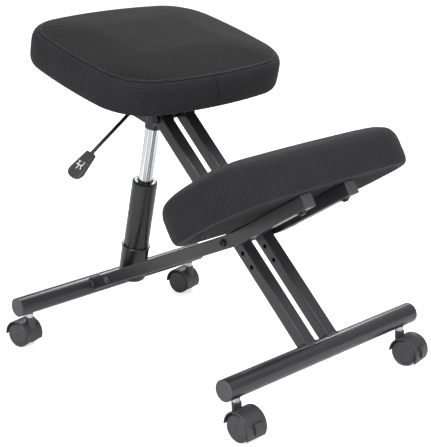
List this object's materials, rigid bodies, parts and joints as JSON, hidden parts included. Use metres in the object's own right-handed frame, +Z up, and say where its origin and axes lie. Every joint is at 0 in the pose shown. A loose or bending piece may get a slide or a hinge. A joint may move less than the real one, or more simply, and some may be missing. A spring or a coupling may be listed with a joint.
{
  "type": "kneeling chair",
  "caption": "Kneeling chair on casters: a padded seat on a gas lift and a sloping knee pad, carried by crossed square-tube legs and arms with a release lever.",
  "frame": {"origin": "on the floor, under the middle of the chair's bounding box", "axes": "+Z up, -Y towards the knee pad and the front casters, +X to the left of the person who kneels"},
  "size_m": [0.4848, 0.6905, 0.6431],
  "materials": {
    "black_powder_coat": "satin",
    "black_plastic": "fine texture",
    "chrome": "mirror",
    "zinc_plated_steel": "satin",
    "plywood": "raw",
    "black_mesh_fabric": "woven mesh",
    "black_wheel_nylon": "moulded"
  },
  "bodies": {
    "rear_base": {"rear_tube": "black_powder_coat", "rear_tube_plugs": "black_plastic", "arm_left": "black_powder_coat", "arm_right": "black_powder_coat", "arm_plugs": "black_plastic", "knee_board": "plywood", "knee_cushion": "black_mesh_fabric", "knee_bolts": "zinc_plated_steel", "pivot_bolt": "zinc_plated_steel", "pivot_nut": "zinc_plated_steel", "pivot_washers": "zinc_plated_steel", "gas_pin": "zinc_plated_steel", "gas_pin_spacers": "black_powder_coat", "caster_stem_rear_right": "zinc_plated_steel", "caster_stem_rear_left": "zinc_plated_steel"},
    "leg_frame": {"front_tube": "black_powder_coat", "front_tube_plugs": "black_plastic", "leg_left": "black_powder_coat", "leg_right": "black_powder_coat", "leg_plugs": "black_plastic", "pivot_spacer": "black_powder_coat", "seat_pivot_bolt": "zinc_plated_steel", "seat_pivot_nut": "zinc_plated_steel", "caster_stem_front_right": "zinc_plated_steel", "caster_stem_front_left": "zinc_plated_steel"},
    "gas_base": {"gas_housing": "black_plastic", "gas_outer_tube": "black_powder_coat", "gas_guide_bush": "black_plastic", "piston_rod": "chrome"},
    "seat_unit": {"gas_column": "chrome", "taper_socket": "black_powder_coat", "seat_bracket": "black_powder_coat", "seat_board": "plywood", "seat_cushion": "black_mesh_fabric", "seat_bolts": "zinc_plated_steel", "lever_clip": "black_powder_coat", "lever_pin": "zinc_plated_steel"},
    "lever": {"lever_rod": "zinc_plated_steel", "lever_handle": "black_plastic"},
    "button": {"release_button": "zinc_plated_steel"},
    "caster_front_right": {"caster_hood_front_right": "black_plastic"},
    "wheels_front_right": {"caster_wheels_front_right": "black_wheel_nylon", "caster_axle_front_right": "zinc_plated_steel"},
    "brake_front_right": {"caster_brake_front_right": "black_plastic"},
    "caster_front_left": {"caster_hood_front_left": "black_plastic"},
    "wheels_front_left": {"caster_wheels_front_left": "black_wheel_nylon", "caster_axle_front_left": "zinc_plated_steel"},
    "brake_front_left": {"caster_brake_front_left": "black_plastic"},
    "caster_rear_right": {"caster_hood_rear_right": "black_plastic"},
    "wheels_rear_right": {"caster_wheels_rear_right": "black_wheel_nylon", "caster_axle_rear_right": "zinc_plated_steel"},
    "caster_rear_left": {"caster_hood_rear_left": "black_plastic"},
    "wheels_rear_left": {"caster_wheels_rear_left": "black_wheel_nylon", "caster_axle_rear_left": "zinc_plated_steel"}
  },
  "joints": [
    {"name": "frame_fold", "type": "hinge", "parent": "rear_base", "child": "leg_frame", "pos_m": [0, -0.118, 0.262], "axis": [-1, 0, 0], "range_deg": [0, 18]},
    {"name": "gas_tilt", "type": "hinge", "parent": "rear_base", "child": "gas_base", "pos_m": [0, 0.22854, 0.11529], "axis": [-1, 0, 0], "range_deg": [0, 6.1]},
    {"name": "seat_height", "type": "slide", "parent": "gas_base", "child": "seat_unit", "axis": [0, -0.2756, 0.9613], "range_m": [-0.085, 0]},
    {"name": "lever_lift", "type": "hinge", "parent": "seat_unit", "child": "lever", "pos_m": [-0.024, 0.12771, 0.46692], "axis": [0, 0.9613, 0.2756], "range_deg": [0, 8], "stiffness_Nm_per_rad": 1, "springref_deg": -11.46},
    {"name": "button_press", "type": "slide", "parent": "seat_unit", "child": "button", "axis": [0, 0.2756, -0.9613], "range_m": [0, 0.0038]},
    {"name": "swivel_front_right", "type": "hinge", "parent": "leg_frame", "child": "caster_front_right", "pos_m": [-0.212, -0.292, 0.05], "axis": [0, 0, 1], "continuous": true},
    {"name": "roll_front_right", "type": "hinge", "parent": "caster_front_right", "child": "wheels_front_right", "pos_m": [-0.212, -0.311, 0.025], "axis": [1, 0, 0], "continuous": true},
    {"name": "brake_front_right", "type": "hinge", "parent": "caster_front_right", "child": "brake_front_right", "pos_m": [-0.212, -0.34182, 0.03622], "axis": [-1, 0, 0], "range_deg": [0, 14]},
    {"name": "swivel_front_left", "type": "hinge", "parent": "leg_frame", "child": "caster_front_left", "pos_m": [0.212, -0.292, 0.05], "axis": [0, 0, 1], "continuous": true},
    {"name": "roll_front_left", "type": "hinge", "parent": "caster_front_left", "child": "wheels_front_left", "pos_m": [0.21514, -0.31074, 0.025], "axis": [0.9863, 0.165, 0], "continuous": true},
    {"name": "brake_front_left", "type": "hinge", "parent": "caster_front_left", "child": "brake_front_left", "pos_m": [0.22022, -0.34114, 0.03622], "axis": [-0.9863, -0.165, 0], "range_deg": [0, 14]},
    {"name": "swivel_rear_right", "type": "hinge", "parent": "rear_base", "child": "caster_rear_right", "pos_m": [-0.212, 0.293, 0.05], "axis": [0, 0, 1], "continuous": true},
    {"name": "roll_rear_right", "type": "hinge", "parent": "caster_rear_right", "child": "wheels_rear_right", "pos_m": [-0.21595, 0.31159, 0.025], "axis": [-0.9781, -0.2079, 0], "continuous": true},
    {"name": "swivel_rear_left", "type": "hinge", "parent": "rear_base", "child": "caster_rear_left", "pos_m": [0.212, 0.293, 0.05], "axis": [0, 0, 1], "continuous": true},
    {"name": "roll_rear_left", "type": "hinge", "parent": "caster_rear_left", "child": "wheels_rear_left", "pos_m": [0.20805, 0.31159, 0.025], "axis": [-0.9781, -0.2079, 0], "continuous": true}
  ],
  "couplings": [
    {"joint": "gas_tilt", "follows": "frame_fold", "ratio": 0.33467},
    {"joint": "seat_height", "follows": "frame_fold", "m_per_rad": -0.26879},
    {"joint": "button_press", "follows": "lever_lift", "m_per_rad": 0.02691}
  ]
}
